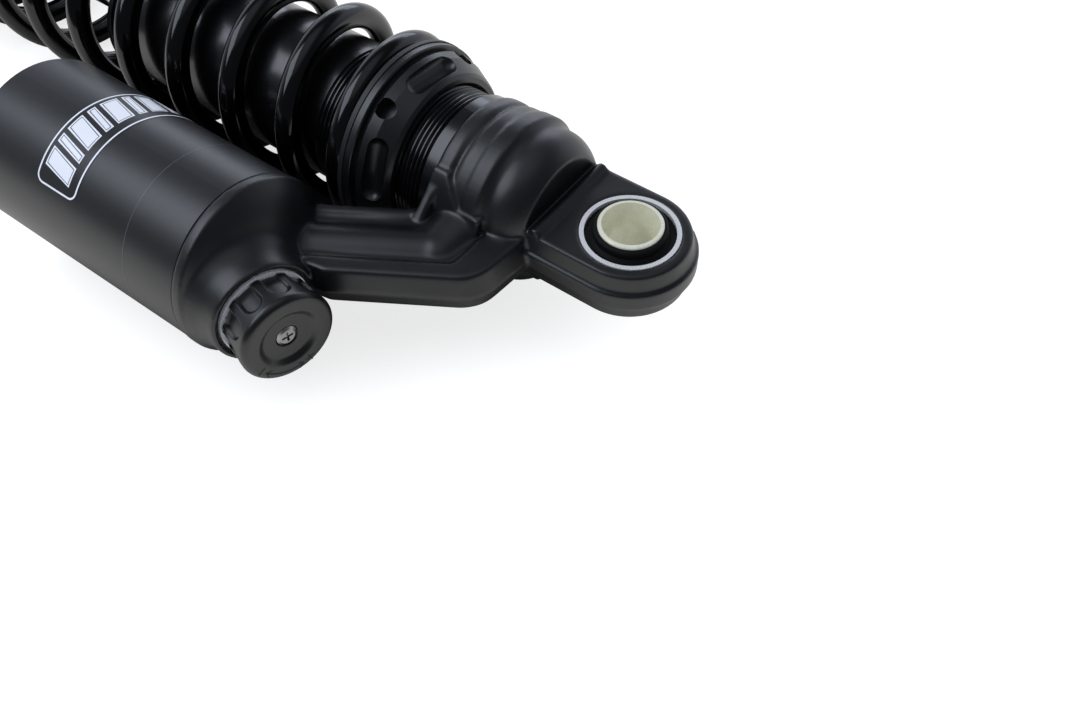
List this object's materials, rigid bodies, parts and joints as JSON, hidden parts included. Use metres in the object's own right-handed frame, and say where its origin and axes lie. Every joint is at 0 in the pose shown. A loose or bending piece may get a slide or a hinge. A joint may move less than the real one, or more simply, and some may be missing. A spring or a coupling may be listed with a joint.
{
  "type": "motorcycle shock absorber",
  "caption": "Coil-over motorcycle shock absorber with rubber-bushed eyes, a threaded preload ring and a piggyback gas reservoir with a compression knob.",
  "frame": {"origin": "centre of the upper eye, on its bore's axis and midway through its thickness", "axes": "+X from the lower eye to the upper eye, along the rod; +Z along the bolts through both eyes; the reservoir is on the -Y side"},
  "size_m": [0.3744, 0.1225, 0.064],
  "materials": {
    "satin_black_forging": "satin black over a blasted aluminium forging",
    "satin_black_anodised": "satin black anodised, turned and milled",
    "satin_black_tube": "satin black anodised tube",
    "hard_anodised_black": "hard anodised black, threaded",
    "gloss_black_spring": "gloss black powder coat",
    "zinc_plated_steel": "bright zinc plate",
    "plated_sleeve_steel": "yellow passivated zinc plate",
    "hard_chrome": "ground hard chrome",
    "spring_steel": "plain spring steel",
    "plain_aluminium": "turned aluminium",
    "brass": "turned brass",
    "bronze_filled_ptfe": "bronze filled bearing tape",
    "black_plastic": "moulded black acetal",
    "black_rubber": "moulded black rubber",
    "bump_rubber": "microcellular bump rubber"
  },
  "bodies": {
    "damper_and_head": {"cylinder_head": "satin_black_forging", "upper_bush_outer_sleeve": "zinc_plated_steel", "upper_bush_rubber": "black_rubber", "damper_body": "hard_anodised_black", "body_joint_ring": "black_rubber", "coil_spring": "gloss_black_spring", "seal_head": "plain_aluminium", "rod_guide_bush": "bronze_filled_ptfe", "rod_seal": "black_rubber", "dust_wiper": "black_rubber", "seal_head_o_ring": "black_rubber", "seal_head_snap_ring": "spring_steel", "body_end_cap": "satin_black_anodised", "reservoir_tube": "satin_black_tube", "reservoir_o_ring": "black_rubber", "reservoir_end_cap": "satin_black_anodised", "end_cap_o_ring": "black_rubber", "end_cap_snap_ring": "spring_steel", "gas_valve": "brass", "gas_valve_cap": "black_plastic", "valve_cartridge": "plain_aluminium", "cartridge_o_ring": "black_rubber", "detent_ring": "zinc_plated_steel"},
    "thrust_washer": {"spring_thrust_washer": "black_plastic"},
    "preload_ring": {"preload_ring": "satin_black_anodised"},
    "rod_assembly": {"piston_rod": "hard_chrome", "piston": "plain_aluminium", "piston_band": "bronze_filled_ptfe", "rebound_shims": "spring_steel", "compression_shims": "spring_steel", "shim_backing_washers": "spring_steel", "piston_nut": "zinc_plated_steel", "top_out_washer": "zinc_plated_steel", "top_out_rubber": "black_rubber", "bump_rubber": "bump_rubber", "lower_spring_seat": "satin_black_anodised", "lower_eye_bracket": "satin_black_forging", "lower_bush_outer_sleeve": "zinc_plated_steel", "lower_bush_rubber": "black_rubber", "rebound_detent_ball": "spring_steel", "rebound_detent_spring": "spring_steel"},
    "rebound_wheel": {"rebound_adjuster_wheel": "satin_black_anodised"},
    "rebound_needle": {"rebound_needle_rod": "plain_aluminium"},
    "gas_piston": {"floating_piston": "plain_aluminium", "floating_piston_band": "bronze_filled_ptfe", "floating_piston_o_ring": "black_rubber"},
    "compression_knob": {"compression_knob": "satin_black_anodised", "knob_screw": "zinc_plated_steel", "adjuster_spindle": "zinc_plated_steel", "knob_detent_ball": "spring_steel", "knob_detent_spring": "spring_steel"},
    "compression_needle": {"compression_needle": "brass"},
    "upper_inner_sleeve": {"upper_bush_inner_sleeve": "plated_sleeve_steel"},
    "lower_inner_sleeve": {"lower_bush_inner_sleeve": "plated_sleeve_steel"}
  },
  "joints": [
    {"name": "shock_stroke", "type": "slide", "parent": "damper_and_head", "child": "rod_assembly", "axis": [1, 0, 0], "range_m": [0, 0.08], "stiffness_N_per_m": 23700, "springref_m": -0.01, "deforming": ["coil_spring"]},
    {"name": "floating_piston_slide", "type": "slide", "parent": "damper_and_head", "child": "gas_piston", "axis": [-1, 0, 0], "range_m": [0, 0.008]},
    {"name": "preload_travel", "type": "slide", "parent": "damper_and_head", "child": "thrust_washer", "axis": [1, 0, 0], "range_m": [-0.0076, 0.0046], "deforming": ["coil_spring"]},
    {"name": "preload_turn", "type": "hinge", "parent": "thrust_washer", "child": "preload_ring", "pos_m": [-0.072, 0, 0], "axis": [1, 0, 0], "range_deg": [-1800, 1080]},
    {"name": "compression_knob_turn", "type": "hinge", "parent": "damper_and_head", "child": "compression_knob", "pos_m": [-0.0662, -0.0749, 0], "axis": [0.9744, -0.225, 0], "range_deg": [-330, 330]},
    {"name": "compression_needle_slide", "type": "slide", "parent": "damper_and_head", "child": "compression_needle", "axis": [0.9744, -0.225, 0], "range_m": [-0.00095, 0.00095]},
    {"name": "rebound_wheel_turn", "type": "hinge", "parent": "rod_assembly", "child": "rebound_wheel", "pos_m": [-0.3125, 0, 0], "axis": [1, 0, 0], "range_deg": [-330, 330]},
    {"name": "rebound_needle_slide", "type": "slide", "parent": "rod_assembly", "child": "rebound_needle", "axis": [1, 0, 0], "range_m": [-0.00095, 0.00095]},
    {"name": "upper_bush_twist", "type": "hinge", "parent": "damper_and_head", "child": "upper_inner_sleeve", "pos_m": [0, 0, 0], "axis": [0, 0, 1], "range_deg": [-15, 15], "stiffness_Nm_per_rad": 6},
    {"name": "lower_bush_twist", "type": "hinge", "parent": "rod_assembly", "child": "lower_inner_sleeve", "pos_m": [-0.336, 0, 0], "axis": [0, 0, 1], "range_deg": [-15, 15], "stiffness_Nm_per_rad": 6}
  ],
  "couplings": [
    {"joint": "floating_piston_slide", "follows": "shock_stroke", "ratio": 0.0926},
    {"joint": "preload_travel", "follows": "preload_turn", "m_per_rad": 0.00023873},
    {"joint": "compression_needle_slide", "follows": "compression_knob_turn", "m_per_rad": 0.00015915},
    {"joint": "rebound_needle_slide", "follows": "rebound_wheel_turn", "m_per_rad": 0.00015915}
  ]
}
